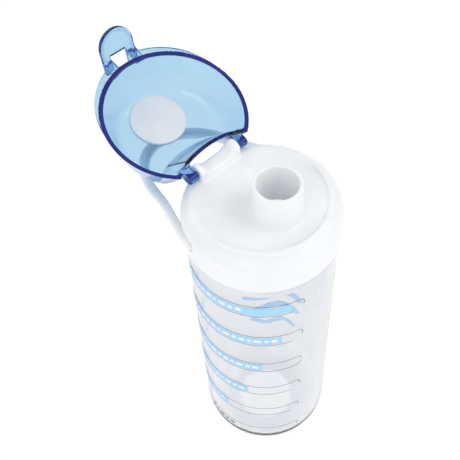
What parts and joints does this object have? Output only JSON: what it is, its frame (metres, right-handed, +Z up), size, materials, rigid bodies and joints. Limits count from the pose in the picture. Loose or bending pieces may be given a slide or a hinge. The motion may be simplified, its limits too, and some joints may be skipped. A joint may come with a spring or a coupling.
{
  "type": "sports squeeze bottle",
  "caption": "Clear drinking bottle with a screw cap, a round drinking spout, a carry loop and a hinged dome lid that flips over to seal the spout.",
  "frame": {"origin": "middle of the flat base that the bottle stands on", "axes": "+Z up along the bottle's axis, +Y towards the lid's hinge and the carry loop, +X to the right seen from the spout's side"},
  "size_m": [0.0778, 0.1411, 0.2487],
  "materials": {
    "clear_plastic": "clear, glossy",
    "white_plastic": "satin moulded",
    "silicone": "soft matte",
    "blue_plastic": "clear tinted, glossy",
    "print_blue": "printed ink",
    "print_grey": "printed ink",
    "print_white": "printed ink"
  },
  "bodies": {
    "bottle": {"bottle_body": "clear_plastic"},
    "gasket": {"neck_gasket": "silicone"},
    "cap": {"screw_cap": "white_plastic", "carry_loop": "white_plastic"},
    "lid": {"flip_lid": "blue_plastic", "spout_seal": "silicone", "hinge_pin_left": "blue_plastic", "hinge_pin_right": "blue_plastic"}
  },
  "joints": [
    {"name": "cap_lift", "type": "slide", "parent": "bottle", "child": "gasket", "axis": [0, 0, 1], "range_m": [0, 0.0061]},
    {"name": "cap_turn", "type": "hinge", "parent": "gasket", "child": "cap", "pos_m": [0, 0, 0.195], "axis": [0, 0, 1], "range_deg": [0, 540]},
    {"name": "lid_hinge", "type": "hinge", "parent": "cap", "child": "lid", "pos_m": [0, 0.0305, 0.2093], "axis": [1, 0, 0], "range_deg": [0, 162.5]}
  ],
  "couplings": [
    {"joint": "cap_lift", "follows": "cap_turn", "m_per_rad": 0.00063662}
  ]
}
